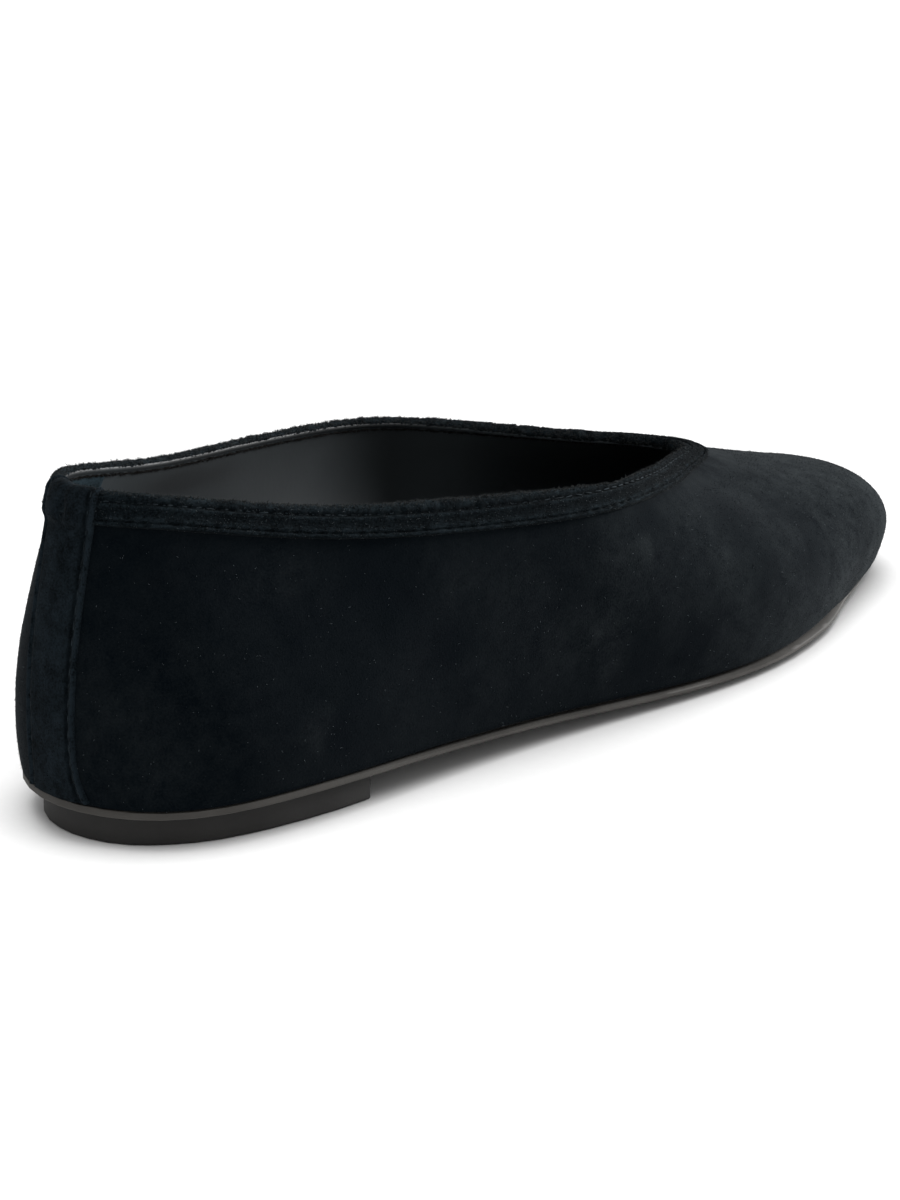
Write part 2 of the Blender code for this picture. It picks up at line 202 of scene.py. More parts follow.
def add_node(tree, kind, sockets, **settings):
    """Adds a node with its settings; its input sockets are set, or linked to another node's output."""
    made = tree.nodes.new(kind)
    for name, value in settings.items():
        setattr(made, name, value)
    for name, value in sockets.items():
        if isinstance(value, bpy.types.NodeSocket):
            tree.links.new(value, made.inputs[name])
        else:
            made.inputs[name].default_value = value
    return made


def new_material(name, **sockets):
    """A material whose shader has these sockets set; returns it with its tree, shader and coordinates."""
    made = bpy.data.materials.new(name)
    made.use_nodes = True
    tree = made.node_tree
    shader = tree.nodes["Principled BSDF"]
    for socket, value in sockets.items():
        shader.inputs[socket.replace("_", " ")].default_value = value
    return made, tree, shader, add_node(tree, "ShaderNodeTexCoord", {}).outputs["Object"]


def noise(tree, coords, size, **sockets):
    """Uneven values from 0 to 1 whose lumps have a size in mm."""
    settings = {"Vector": coords, "Scale": per_size(size), **sockets}
    return add_node(tree, "ShaderNodeTexNoise", settings).outputs["Fac"]


def own_tone(tree):
    """The tone that a piece carries at its points."""
    return add_node(tree, "ShaderNodeAttribute", {}, attribute_name="tone").outputs["Fac"]


def colour_between(tree, shader, share, dark, light):
    """Colours a shader between two hex codes, by a share from 0 to 1."""
    mixed = add_node(tree, "ShaderNodeMix", {0: share, 6: linear(dark), 7: linear(light)},
                     data_type="RGBA", clamp_factor=True)
    tree.links.new(mixed.outputs[2], shader.inputs["Base Color"])


def suede(name, dark, light, cloud_size, wool, bloom, shift):
    """Split leather with a brushed nap.

    It is matt and deep, in soft blotches where the nap lies one way or another, with short brush marks and
    a fine grain, and paler or darker where a piece's own tone says so: patches of its nap, and painted light
    and shade.
    """
    made, tree, shader, coords = new_material(
        name, Roughness=1.0, Specular_IOR_Level=0.04, Sheen_Weight=bloom, Sheen_Roughness=0.35,
        Sheen_Tint=linear("#d0dce4"))
    moved = add_node(tree, "ShaderNodeMapping", {"Vector": coords, "Location": shift}).outputs["Vector"]
    brushed = add_node(tree, "ShaderNodeMapping", {"Vector": moved, "Rotation": (0.3, 0.9, 0.4),
                                                   "Scale": (1.0, 1.5, 1.2)}).outputs["Vector"]
    cloud = noise(tree, moved, cloud_size, Detail=5.0, Roughness=0.6, Distortion=0.6)
    brush = noise(tree, brushed, 3.5, Detail=4.0, Roughness=0.65)
    # Nap fibres are about 0.05 mm thick: drawn as tufts coarse enough to show
    tufts = noise(tree, moved, 0.4, Detail=1.0)
    raised = 1.0
    for texture, swing in ((cloud, 3.2), (brush, 3.0), (tufts, wool)):
        middle = add_node(tree, "ShaderNodeMath", {0: texture, 1: -0.5}, operation="ADD").outputs[0]
        raised = add_node(tree, "ShaderNodeMath", {0: middle, 1: swing, 2: raised},
                          operation="MULTIPLY_ADD").outputs[0]
    shown = add_node(tree, "ShaderNodeMath", {0: raised, 1: own_tone(tree)}, operation="MULTIPLY")
    colour_between(tree, shader, shown.outputs[0], dark, light)
    lay = noise(tree, moved, 8.0, Detail=1.5)
    leaning = add_node(tree, "ShaderNodeBump", {"Height": lay, "Distance": 0.2 * MM})
    bump = add_node(tree, "ShaderNodeBump", {"Height": tufts, "Strength": 0.6, "Distance": 0.12 * MM,
                                             "Normal": leaning.outputs["Normal"]})
    tree.links.new(bump.outputs["Normal"], shader.inputs["Normal"])
    return made


def leather(name, code, worn, roughness, pore):
    """Smooth dyed leather: a fine pebbled grain under a soft, broad sheen.

    It is a little paler where it is rubbed or where a piece's own tone says so.
    """
    made, tree, shader, coords = new_material(name, Roughness=roughness, IOR=1.47, Specular_IOR_Level=0.3)
    cells = add_node(tree, "ShaderNodeTexVoronoi", {"Vector": coords, "Scale": per_size(pore)},
                     feature="SMOOTH_F1")
    rubbed = noise(tree, coords, 22.0, Detail=3.0)
    wear = add_node(tree, "ShaderNodeMath", {0: rubbed, 1: 0.3, 2: own_tone(tree)},
                    operation="MULTIPLY_ADD")
    colour_between(tree, shader, wear.outputs[0], code, worn)
    bump = add_node(tree, "ShaderNodeBump", {"Height": cells.outputs["Distance"], "Strength": 0.1,
                                             "Distance": 0.1 * MM})
    tree.links.new(bump.outputs["Normal"], shader.inputs["Normal"])
    return made


def sole_compound(name, code, dust, roughness):
    """Moulded rubber compound: matt, with a fine moulded grit and a dusty unevenness of colour."""
    made, tree, shader, coords = new_material(name, Roughness=roughness, IOR=1.5, Specular_IOR_Level=0.38)
    cloud = noise(tree, coords, 9.0, Detail=4.0)
    grit = noise(tree, coords, 0.5, Detail=2.0)
    dusty = add_node(tree, "ShaderNodeMapRange", {"Value": cloud, "From Min": 0.35, "From Max": 0.7})
    colour_between(tree, shader, dusty.outputs["Result"], code, dust)
    bump = add_node(tree, "ShaderNodeBump", {"Height": grit, "Strength": 0.3, "Distance": 0.1 * MM})
    tree.links.new(bump.outputs["Normal"], shader.inputs["Normal"])
    return made


def thread_finish(name, code, lit):
    """Twisted cotton thread: matt, with painted glints in uneven blotches, as where the twist of its plies
    turns to the light.
    """
    made, tree, shader, coords = new_material(name, Roughness=0.9, Specular_IOR_Level=0.1)
    plies = noise(tree, coords, 2.5, Detail=3.0)
    # Painted glints: the thread is paler in uneven blotches
    turned = add_node(tree, "ShaderNodeMapRange", {"Value": plies, "From Min": 0.35, "From Max": 0.65})
    colour_between(tree, shader, turned.outputs["Result"], code, lit)
    return made


def fibre_finish(name, code, lit):
    """Loose fibres, matt, some darker and some paler."""
    made, tree, shader, coords = new_material(name, Roughness=1.0, Specular_IOR_Level=0.1)
    colour_between(tree, shader, noise(tree, coords, 3.0), code, lit)
    return made


def floor_finish(name, code, pale):
    """Matt white card, all but even, with the faintest mottle of its fibres."""
    made, tree, shader, coords = new_material(name, Roughness=1.0, Specular_IOR_Level=0.0)
    colour_between(tree, shader, noise(tree, coords, 2.0), code, pale)
    return made


class ClosedSpline:
    """Cubic spline through the loop's rows, with row number i at u = i."""

    def __init__(self, rows):
        self.rows = np.array(rows)
        count = len(rows)
        following = np.roll(self.rows, -1, axis=0)
        self.step = np.linalg.norm((following - self.rows)[:, :2], axis=1)
        rate = (following - self.rows) / self.step[:, None]
        matrix = np.zeros((count, count))
        for i in range(count):
            matrix[i, i] = 2 * (self.step[i - 1] + self.step[i])
            matrix[i, i - 1] = self.step[i - 1]
            matrix[i, (i + 1) % count] = self.step[i]
        self.bend = np.linalg.solve(matrix, 6 * (rate - np.roll(rate, 1, axis=0)))

    def ends(self, u):
        """The two rows either side of u, their bends, the step between them and the way along it."""
        count = len(self.rows)
        whole = np.floor(u).astype(int)
        here = whole % count
        after = (whole + 1) % count
        step = self.step[here][..., None]
        way = (u - whole)[..., None] * step
        return self.rows[here], self.rows[after], self.bend[here], self.bend[after], step, way

    def value(self, u):
        row0, row1, bend0, bend1, step, way = self.ends(u)
        left = step - way
        curve = (bend0 * left ** 3 + bend1 * way ** 3) / (6 * step)
        return curve + (row0 / step - bend0 * step / 6) * left + (row1 / step - bend1 * step / 6) * way

    def slope(self, u):
        row0, row1, bend0, bend1, step, way = self.ends(u)
        curve = (bend1 * way ** 2 - bend0 * (step - way) ** 2) / (2 * step)
        return curve + (row1 - row0) / step - (bend1 - bend0) * step / 6


def loop_row(station, side, half):
    """One row of the loop, in mm and radians, from a station's shares."""
    foot_z = FORE_LIFT + HEEL_LIFT * station["heel"] + TOE_SPRING * station["spring"]
    throat_share = station["collar_along"] / THROAT_ALONG
    inner_rise = INNER_RISE * math.sin(math.pi * throat_share) if half == "inner" else 0.0
    collar_z = THROAT_HEIGHT + (BACK_HEIGHT - THROAT_HEIGHT) * station["collar_rise"] + inner_rise
    return (LENGTH * station["along"], side * BALL_WIDTH * station[half], foot_z,
            LENGTH * station["collar_along"], side * BALL_WIDTH * station["collar_" + half], collar_z,
            math.radians(station["low_lean"]), station["low_pull"],
            math.radians(station["top_lean"]), station["top_pull"])


def make_loop():
    """The loop of rows: heel back, outer side, toe tip, inner side."""
    stations = [dict(zip(COLUMNS, row)) for row in STATIONS.values()]
    outer_side = [loop_row(station, -1, "outer") for station in stations]
    inner_side = [loop_row(station, 1, "inner") for station in reversed(stations[1:-1])]
    return ClosedSpline(outer_side + inner_side)


LOOP = make_loop()


def unit(vectors):
    return vectors / np.linalg.norm(vectors, axis=-1, keepdims=True)


def face(u, v):
    """Points of the upper's outer face, u round the shoe and v from feather line (0) to collar (1)."""
    u, v = np.broadcast_arrays(u, v)
    value = LOOP.value(u)
    slope = LOOP.slope(u)
    out = unit(np.stack([slope[..., 1], -slope[..., 0], np.zeros(u.shape)], axis=-1))
    foot = value[..., FOOT]
    collar = value[..., COLLAR]
    chord = np.linalg.norm(collar - foot, axis=-1)
    low_lean = value[..., LOW_LEAN, None]
    top_lean = value[..., TOP_LEAN, None]
    low_pull = (value[..., LOW_PULL] * chord)[..., None]
    top_pull = (value[..., TOP_PULL] * chord)[..., None]
    low = foot + low_pull * (np.cos(low_lean) * UP + np.sin(low_lean) * out)
    lay = unit((foot - collar) * LEVEL + PLAN_TURN * out)
    top = collar - top_pull * (np.cos(top_lean) * UP - np.sin(top_lean) * lay)
    v = v[..., None]
    w = 1 - v
    return w ** 3 * foot + 3 * w ** 2 * v * low + 3 * w * v ** 2 * top + v ** 3 * collar


def face_axes(u, v):
    """Directions on the outer face: round the shoe, and out of the face."""
    small = 0.001
    around = face(u + small, v) - face(u - small, v)
    rising = face(u, v + small) - face(u, v - small)
    return unit(around), unit(np.cross(around, rising))


def drops(u):
    """Heights v on the sections at u, and the length of section from each up to the collar.

    The lengths have a row for each u.
    """
    heights = np.linspace(0, 1, FINE_STEPS + 1)
    points = face(u[:, None], heights[None, :])
    pieces = np.linalg.norm(np.diff(points, axis=1), axis=2)
    below = np.zeros((len(u), len(heights)))
    below[:, :-1] = np.cumsum(pieces[:, ::-1], axis=1)[:, ::-1]
    return heights, below


def wall_depth(u):
    """Length along the wall's skin from the middle of its top edge down to the feather line."""
    return drops(u)[1][:, 0] + OVER


BACK_DEPTH = wall_depth(np.zeros(1))[0]  # of the wall at the centre back


def arc_lengths(line):
    """Length along a line of points from its first to each."""
    return np.concatenate([[0], np.cumsum(np.linalg.norm(np.diff(line, axis=0), axis=1))])


def skin(u, place):
    """Points over the wall's two faces and rounded top edge, with the directions out and round the shoe.

    u is a row of places round the shoe. place, a row for each u, is the length along the wall's skin from
    the middle of the top edge, negative outside and positive inside.
    """
    place = np.broadcast_to(place, (len(u), np.shape(place)[-1]))
    heights, below = drops(u)
    drop = np.maximum(np.abs(place) - OVER, 0)
    v = np.array([np.interp(d, b[::-1], heights[::-1]) for d, b in zip(drop, below)])
    radius = WALL / 2
    turn = np.clip(place / radius, -math.pi / 2, math.pi / 2)[..., None]
    grid_u = np.broadcast_to(u[:, None], v.shape)
    around, out = face_axes(grid_u, v)
    rise = np.cross(out, around)
    normal = -np.sin(turn) * out + np.cos(turn) * rise
    return face(grid_u, v) - radius * out + radius * normal, normal, around


def even_round(count, place):
    """Places u, count + 1 of them, at even lengths along a line round the wall's skin."""
    u = np.linspace(0, ROUND, 8 * FINE_STEPS + 1)
    line = skin(u, np.array([[place]]))[0][:, 0]
    arc = arc_lengths(line)
    return np.interp(np.linspace(0, arc[-1], count + 1), arc, u), arc[-1]


def find_shift():
    """From the last's own place, heel back at x = 0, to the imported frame, mm."""
    low = np.array(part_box("upper")[0]) / MM
    steps = np.arange(0, ROUND, 0.25)
    points = face(steps[:, None], np.linspace(0, 1, 11)[None, :]).reshape(-1, 3)
    shift = low - points.min(axis=0)
    shift[2] = 0
    return shift


SHIFT = find_shift()


def swell(points, size, seed):
    """A smooth uneven height at each point, about -1 to 1, whose lumps have a size in mm."""
    draw = np.random.default_rng(seed)
    total = np.zeros(points.shape[:-1])
    for _ in range(7):
        way = unit(draw.normal(size=3)) * 2 * math.pi / (size * draw.uniform(0.8, 1.6))
        total += np.sin(points @ way + draw.uniform(0, 2 * math.pi))
    return total / 3.5


def choose(piece):
    """Makes a piece the only one selected, and the active one."""
    bpy.ops.object.select_all(action="DESELECT")
    piece.select_set(True)
    bpy.context.view_layer.objects.active = piece


def open_mesh(piece, action):
    """Opens a piece for editing, with all of it selected or none."""
    choose(piece)
    bpy.ops.object.mode_set(mode="EDIT")
    bpy.ops.mesh.select_all(action=action)


def weld(piece):
    """Joins the points that lie together."""
    open_mesh(piece, "SELECT")
    bpy.ops.mesh.remove_doubles(threshold=WELD_GAP)
    bpy.ops.object.mode_set(mode="OBJECT")


def finish_mesh(piece, angle):
    """Turns a closed piece's faces outwards and smooths it, but for edges sharper than angle degrees."""
    open_mesh(piece, "SELECT")
    bpy.ops.mesh.normals_make_consistent(inside=False)
    bpy.ops.object.mode_set(mode="OBJECT")
    bpy.ops.object.shade_smooth_by_angle(angle=math.radians(angle))


def add_tone(mesh, tone):
    """Gives a mesh the tone at each of its points, which says where suede or leather is paler."""
    mesh.attributes.new("tone", "FLOAT", "POINT").data.foreach_set("value", tone.ravel())


def laid_grid(name, points, tone, capped=False):
    """A grid primitive whose points are laid where the array says, row by row, with its seams welded.

    Where capped, the two open ends of the tube are filled.
    """
    rows, columns = points.shape[:2]
    bpy.ops.object.select_all(action="DESELECT")
    bpy.ops.mesh.primitive_grid_add(x_subdivisions=columns - 1, y_subdivisions=rows - 1, size=1)
    piece = bpy.context.object
    piece.name = name
    piece.data.name = name
    placed = (points.reshape(-1, 3) + SHIFT) * MM
    piece.data.vertices.foreach_set("co", placed.ravel())
    add_tone(piece.data, tone)
    piece.data.update()
    weld(piece)
    if capped:
        open_mesh(piece, "DESELECT")
        bpy.ops.mesh.select_non_manifold(extend=False)
        bpy.ops.mesh.fill_holes(sides=0)
        bpy.ops.object.mode_set(mode="OBJECT")
    return piece


def apply_modifier(piece, kind, **settings):
    """Adds a modifier with its settings and applies it."""
    choose(piece)
    made = piece.modifiers.new(kind.lower(), kind)
    for name, value in settings.items():
        setattr(made, name, value)
    bpy.ops.object.modifier_apply(modifier=made.name)


def dress(piece, node, slot, finish):
    """Puts a piece on the shoe's body, in the place of a CAD node, with a finish. Its slot is not used."""
    piece.data.materials.append(finish)
    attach(piece, "root")
    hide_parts(node)


def ring(outside, inside):
    """Rows of a closed section: out along one side and back along the other, joined at both ends."""
    return np.concatenate([outside, inside[:, ::-1], outside[:, :1]], axis=1)


def ridge(place, middle, half_width):
    """A smooth bump, 1 at its middle, across a strip or a seam."""
    return np.exp(-((place - middle) / half_width) ** 2)


# Soft troughs (below 0) and ridges of the suede: from and to as (station round the shoe, share
# of the wall's height), then height and half width in mm
CREASES = (
    ((5.2, 0.80), (5.9, 0.30), -0.14, 9.0),
    ((6.2, 0.62), (6.6, 0.20), 0.06, 8.0),
    ((6.9, 0.72), (7.2, 0.22), -0.07, 8.0),
    ((3.4, 0.62), (4.4, 0.30), -0.25, 11.0),
    ((2.2, 0.72), (2.7, 0.25), 0.22, 10.0),
    ((1.1, 0.70), (1.3, 0.20), -0.18, 6.0),
    ((13.2, 0.70), (13.5, 0.22), -0.07, 8.0),
    ((14.1, 0.78), (14.6, 0.30), -0.14, 9.0),
    ((15.6, 0.60), (16.6, 0.32), -0.25, 11.0),
    ((17.4, 0.70), (17.8, 0.25), 0.22, 10.0),
    ((18.8, 0.70), (18.9, 0.20), -0.18, 6.0),
)

# Patches where the nap of the suede lies paler (above 0) or darker: middle as (station, share of
# the wall's height), then strength and half width in mm
PATCHES = (
    ((2.06, 0.80), 0.09, 7.0),
    ((2.20, 0.24), 0.12, 4.0),
    ((3.18, 0.71), 0.07, 6.0),
    ((3.65, 0.62), 0.08, 8.0),
    ((3.94, 0.37), 0.08, 8.0),
    ((4.35, 0.28), 0.10, 7.0),
    ((3.50, 0.24), 0.09, 6.0),
    ((4.76, 0.69), 0.17, 10.0),
    ((4.40, 0.82), 0.07, 7.0),
    ((5.69, 0.81), 0.14, 9.0),
    ((2.64, 0.77), -0.07, 9.0),
    ((2.81, 0.62), -0.06, 7.0),
    ((3.14, 0.44), -0.08, 5.0),
    ((2.43, 0.20), -0.07, 7.0),
    ((3.66, 0.13), -0.07, 4.5),
    ((4.59, 0.22), -0.10, 6.0),
    ((4.11, 0.59), -0.08, 6.0),
    ((5.09, 0.83), -0.20, 5.0),
    ((5.00, 0.14), -0.18, 5.0),
    ((5.16, 0.27), -0.20, 5.0),
    ((6.06, 0.43), -0.22, 6.5),
    ((6.35, 0.76), -0.24, 8.5),
    ((7.30, 0.65), -0.24, 8.5),
    ((7.20, 0.47), -0.22, 6.5),
    ((6.76, 0.40), -0.20, 5.5),
    ((7.85, 0.26), -0.20, 7.0),
    ((4.88, 0.74), 0.16, 4.0),
    ((5.70, 0.59), 0.14, 4.0),
    ((6.39, 0.23), 0.12, 7.0),
    ((7.39, 0.24), 0.12, 6.0),
    ((4.26, 0.33), 0.10, 6.0),
    ((0.90, 0.25), 0.10, 20.0),
    ((4.30, 0.47), 0.11, 10.0),
    ((6.60, 0.30), -0.20, 11.0),
    ((2.20, 0.50), -0.03, 12.0),
)
PATCH_WARP = 2.0  # how far the patches' outlines stray, mm
PATCH_EDGE = 2.4  # above 2 their edges are firmer than a bell's
INNER_SHARE = 0.4  # strength of their copies on the inner side


def patch_tone(points):
    """Tone that the patches give at each point of the upper, fainter on the inner side."""
    tone = np.zeros(points.shape[:-1])
    stray = np.stack([swell(points, 9.0, seed) for seed in (21, 22, 23)], axis=-1)
    warped = points + PATCH_WARP * stray
    for (station, height), strength, half_width in PATCHES:
        for u, share in ((station, 1.0), (ROUND - station, INNER_SHARE)):
            apart = np.linalg.norm(warped - face(np.array(u), np.array(height)), axis=-1)
            tone += share * strength * np.exp(-(apart / half_width) ** PATCH_EDGE)
    return tone


def crease_height(points):
    """Height that the listed creases give at each point of the upper."""
    height = np.zeros(points.shape[:-1])
    along = np.linspace(0, 1, 15)
    for start, end, depth, half_width in CREASES:
        line = face(start[0] + (end[0] - start[0]) * along, start[1] + (end[1] - start[1]) * along)
        apart = np.linalg.norm(points[..., None, :] - line, axis=-1)
        near = np.argmin(apart, axis=-1)
        fade = np.sin(math.pi * (0.08 + 0.84 * along))[near]
        height += depth * fade * np.exp(-(apart.min(axis=-1) / half_width) ** 2)
    return height


def suede_upper():
    """The suede over the last, with its creases, turned under along the sole."""
    u, _ = even_round(UPPER_GRID_ROWS, -30.0)
    v = np.linspace(0, 1, UPPER_GRID_COLUMNS)
    points = face(u[:, None], v[None, :])
    _, out = face_axes(u[:, None], np.broadcast_to(v, (len(u), len(v))))
    rise = np.zeros(points.shape[:2])
    rise[:, 1:] = np.cumsum(np.linalg.norm(np.diff(points, axis=1), axis=2), axis=1)
    from_tip = np.abs(u - TOE_ROW)[:, None]
    at_toe = np.sin(np.clip((WRAP_REACH - from_tip) / WRAP_FADE, 0, 1) * math.pi / 2) ** 2
    points[..., 2] -= TOE_WRAP * at_toe * np.clip(1 - rise / WRAP_HEIGHT, 0, 1) ** 2
    under = np.clip(1 - rise / FEATHER_ROLL, 0, 1) * (1 - 0.5 * at_toe)
    height = crease_height(points) + 0.10 * swell(points, 28.0, 3) + 0.03 * swell(points, 9.0, 4)
    height = height * np.clip(rise / 8, 0, 1) - FEATHER_ROLL * (1 - np.sqrt(1 - under ** 2))
    height += TOE_FULL * ridge(from_tip, 0, 2.6) * ridge(rise, 25, 16)
    height -= TOE_PULL * ridge(from_tip, 2.4, 1.2) * np.clip(1 - rise / 9, 0, 1)
    outside = points + height[..., None] * out
    # Painted light: the suede turns paler towards the toe, which faces the lamps
    fore = np.clip((points[..., 0] - PAINTED_LIGHT_START) / PAINTED_LIGHT_LENGTH, 0, 1)
    # Painted shade: the suede is darker within 1.5 mm of the sole, in the seam where it meets the sole
    painted_sole_shade = 0.4 * np.clip(1 - rise / 1.5, 0, 1)
    tone = HEEL_TONE + TOE_PAINTED_LIGHT * fore ** 1.4 + patch_tone(points) - painted_sole_shade
    piece = laid_grid("suede_upper", ring(outside, outside - SUEDE_THICK * out), ring(tone, tone))
    finish_mesh(piece, 60)
    finish = suede("navy suede", "#02060a", "#1d2123", 14.0, 2.5, 0.03, (0.31, 0.12, 0.07))
    dress(piece, "upper", "suede", finish)
    shown = slice(0, UPPER_GRID_COLUMNS - UNDER_BINDING)
    return (outside[:, shown], out[:, shown]), tone[:, shown], finish


def rounded_edge(away, radius):
    """Share of full thickness at a distance from a rounded edge."""
    inside = np.clip(1 - away / radius, 0, 1)
    return np.sqrt(1 - inside ** 2)


def crest_lift(u):
    """How much higher or lower the binding's crest stands where the outer side bends to the throat, mm."""
    return 0.35 * ridge(u, 3.3, 0.6) - 0.75 * ridge(u, 4.9, 0.6)


def inside_lift(place):
    """Height of the lining over the wall: upright beside the binding, with a rounded square top."""
    turn = np.clip(2 * place / WALL, 0, math.pi / 2)
    square = ((np.sin(turn) / LINING_OUT) ** 4 + (np.cos(turn) / LINING_UP) ** 4) ** -0.25 - WALL / 2
    ledge = LINING_LEDGE * np.clip((place - LINING_ROW) / 0.25 + 1, 0, 1)
    return np.where(place < OVER, square, LINING_OUT - WALL / 2) - ledge


def leather_lining():
    """The smooth lining inside, its rolled edge lying over the end of the binding."""
    u, _ = even_round(LINING_GRID_ROWS, 20.0)
    depth = wall_depth(u)[:, None] - LINING_SHORT
    edge = np.concatenate([LINING_START + 0.3 * np.linspace(0, 1, 6) ** 1.5, np.linspace(0.6, 2.0, 12)])
    share = np.linspace(0, 1, 40)[1:]
    below = edge[-1] + share ** 1.3 * (depth - edge[-1])
    place = np.concatenate([np.broadcast_to(edge, (len(u), len(edge))), below], axis=1)
    points, out, _ = skin(u, place)
    lift = inside_lift(place) + crest_lift(u)[:, None] * ridge(place, 0, 1.3)
    lift -= 0.4 * (1 - rounded_edge(place - LINING_START, 0.25))
    lift += 0.10 * swell(points, 24.0, 8) * np.clip((place - LINING_ROW) / 6, 0, 1)
    inside = points + lift[..., None] * out
    u = u[:, None]
    # Painted light and shade: the lining is paler over the front of the shoe, where it lies in shade, with a
    # painted highlight on the inner wall near the heel; it is darker in a painted shade patch beside that
    # and over the rolled edge above the stitches
    tone = 0.08 + 0.92 * np.clip(15.2 - u, 0, 1) * np.clip(u - 4.8, 0, 1) + 0.3 * ridge(u, 18.3, 0.4)
    tone = tone - 0.3 * ridge(u, 17.4, 0.5) * ridge(place, 5.0, 3.0) - 0.2 * (place < LINING_ROW)
    piece = laid_grid("leather_lining", ring(inside, inside - LINING_THICK * out), ring(tone, tone))
    finish_mesh(piece, 60)
    dress(piece, "upper", "insole_leather", leather("lining leather", "#1a1d1f", "#3c4245", 0.55, 0.9))
    return inside[:, LINING_EDGE], out[:, LINING_EDGE]


def binding_height(place, arc_share, counts):
    """Thickness of the binding: puffed at its crest and lower edge, pulled down along its stitches."""
    low_edge = rounded_edge(place + BINDING_DOWN, 0.6)
    high_edge = rounded_edge(BINDING_IN - place, 0.7)
    height = BINDING_PUFF * np.minimum(low_edge, high_edge)
    height = height + 0.22 * ridge(place, BINDING_ROWS[0], 0.8) - 0.18 * ridge(place, -2.6, 0.9)
    for number, row in enumerate(BINDING_ROWS):
        hole = 0.5 - 0.5 * np.cos(2 * math.pi * counts[number] * arc_share)
        height = height - (0.65 - 0.25 * hole) * ridge(place, row, 0.3)
    return height


def binding_light_and_shade(place, points):
    """Paler nap along the binding's crest, below its upper row and along its lower row, partly rubbed and
    partly painted highlight; painted shade in the seams and a painted shadow below its lower edge.
    """
    low, high = BINDING_ROWS
    tone = 0.5 * ridge(place, -0.1, 0.7) + 0.5 * ridge(place, low, 0.8)
    tone = tone + 0.3 * ridge(place, high - 0.55, 0.3)
    tone = tone - 0.35 * ridge(place, low, 0.22) - 0.25 * ridge(place, high, 0.22)
    tone = tone - 0.6 * np.clip((-5.3 - place) / 0.3, 0, 1)
    return 0.32 + tone * (1 + 0.7 * swell(points, 2.6, 12))


def row_count(place):
    """Number of stitches in a row all the way round."""
    return round(even_round(8, place)[1] / STITCH_PITCH)


def binding_strip():
    """The folded suede strip sewn over the topline."""
    u, _ = even_round(BINDING_GRID_ROWS, -3.0)
    place = np.concatenate([np.linspace(-BINDING_DOWN, -BINDING_DOWN + 0.6, 7),
                            np.linspace(-BINDING_DOWN + 0.75, 0.1, 38),
                            np.linspace(0.2, BINDING_IN, 6)])[None, :]
    points, out, _ = skin(u, place)
    share = np.linspace(0, 1, len(u))[:, None]
    height = binding_height(place, share, [row_count(row) for row in BINDING_ROWS])
    height = height + 0.07 * swell(points, 7.0, 11) * (height / BINDING_PUFF)
    clumped = ridge(place, -0.4, 0.6) + 0.6 * ridge(place, BINDING_ROWS[0], 0.9)
    height = height + 0.08 * swell(points, 2.4, 14) * clumped
    height = height + crest_lift(u)[:, None] * ridge(place, 0, 1.3)
    ragged = 0.06 + 0.06 * ridge(place, -0.3, 0.6)
    tufts = np.random.default_rng(13).normal(size=points.shape[:2])
    tufts[-1] = tufts[0]  # the last row lies on the first
    height = height + ragged * tufts * (height > 0.5)
    outside = points + (STRIP_GAP + height[..., None]) * out
    # Painted shade: the binding is darker towards the throat, where it faces up into the light
    tone = binding_light_and_shade(place, points) - 0.6 * ridge(u, TOE_ROW, 5.5)[:, None]
    piece = laid_grid("binding_strip", ring(outside, points - BINDING_SUNK * out), ring(tone, tone))
    finish_mesh(piece, 50)
    dress(piece, "topline_binding", "binding_suede",
          suede("navy suede binding", "#030608", "#171e22", 9.0, 4.5, 0.014, (0.11, 0.52, 0.17)))
    return outside, out


def back_patch(places, across):
    """Points on the wall about the centre back, and their directions out.

    There is a row for each place down the wall, with points at the distances across. Those are the same in
    each row, or given row by row.
    """
    reach = np.linspace(-2.6, 2.6, 4 * FINE_STEPS + 1)
    lines, _, _ = skin(reach, places[None, :])
    points = []
    outs = []
    across = np.broadcast_to(across, (len(places), np.shape(across)[-1]))
    for line, place, apart in zip(lines.swapaxes(0, 1), places, across):
        arc = arc_lengths(line)
        u = np.interp(apart, arc - arc[len(arc) // 2], reach)
        row, out, _ = skin(u, np.array([[place]]))
        points.append(row[:, 0])
        outs.append(out[:, 0])
    return np.array(points), np.array(outs)


def backstay_lift(place):
    """Height of the wall under the backstay: it climbs over the binding."""
    climb = np.clip((place + BINDING_DOWN + 1.6) / 2.2, 0, 1)
    eased = climb * climb * (3 - 2 * climb)
    return np.where(place > 0, np.minimum(OVER_BINDING, inside_lift(place)), OVER_BINDING * eased)


def backstay_flare(place):
    """How much wider the backstay runs out at the sole."""
    share = np.clip((FLARE_HEIGHT - BACK_DEPTH - place) / FLARE_HEIGHT, 0, 1)
    return 1 + BACKSTAY_FLARE * share[:, None] ** 2


